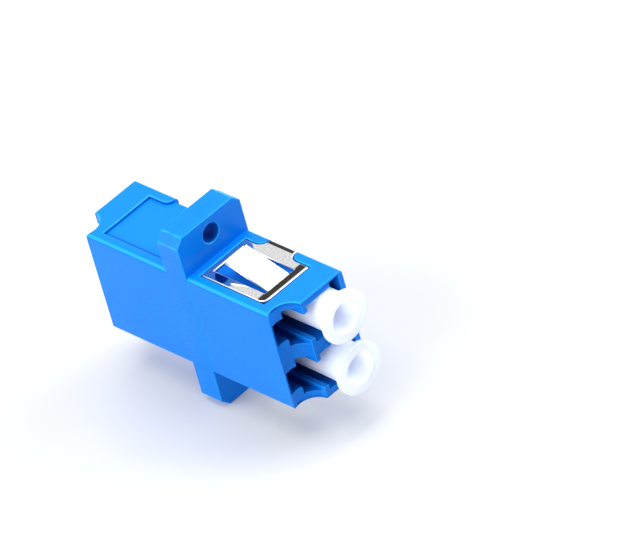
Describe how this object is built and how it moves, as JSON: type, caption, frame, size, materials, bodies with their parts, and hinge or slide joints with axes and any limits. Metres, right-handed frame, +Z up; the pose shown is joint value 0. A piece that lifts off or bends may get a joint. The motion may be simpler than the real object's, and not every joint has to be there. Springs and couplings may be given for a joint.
{
  "type": "duplex lc fibre adapter",
  "caption": "Flanged duplex LC fibre adapter with stepped latch ports, a sprung metal panel clip and push-in dust caps on the front ports.",
  "frame": {"origin": "centre of the flange's front face, where the panel seats, midway between the two screw holes", "axes": "+Z up along the flange's ears; -Y out of the capped front ports, along the way the part is pushed into its panel; -X the latch side of the ports"},
  "size_m": [0.0094, 0.0331, 0.022],
  "materials": {
    "housing": "azure blue moulded thermoplastic, satin gloss",
    "clip": "bright rolled stainless spring sheet",
    "cap": "milky white soft polyethylene, slightly translucent",
    "sleeve": "polished white zirconia"
  },
  "bodies": {
    "housing": {"front_housing": "housing", "rear_housing": "housing", "split_sleeve_upper": "sleeve", "split_sleeve_lower": "sleeve", "panel_clip": "clip"},
    "tongue_top": {"clip_tongue_top": "clip"},
    "tongue_bottom": {"clip_tongue_bottom": "clip"},
    "cap_upper": {"dust_cap_upper": "cap"},
    "cap_lower": {"dust_cap_lower": "cap"}
  },
  "joints": [
    {"name": "tongue_top_flex", "type": "hinge", "parent": "housing", "child": "tongue_top", "pos_m": [0, -0.00893, 0.00613], "axis": [-1, 0, 0], "range_deg": [0, 14], "stiffness_Nm_per_rad": 0.002},
    {"name": "tongue_bottom_flex", "type": "hinge", "parent": "housing", "child": "tongue_bottom", "pos_m": [0, -0.00893, -0.00613], "axis": [1, 0, 0], "range_deg": [0, 14], "stiffness_Nm_per_rad": 0.002},
    {"name": "cap_upper_pull", "type": "slide", "parent": "housing", "child": "cap_upper", "axis": [0, -1, 0], "range_m": [0, 0.014]},
    {"name": "cap_lower_pull", "type": "slide", "parent": "housing", "child": "cap_lower", "axis": [0, -1, 0], "range_m": [0, 0.014]}
  ]
}
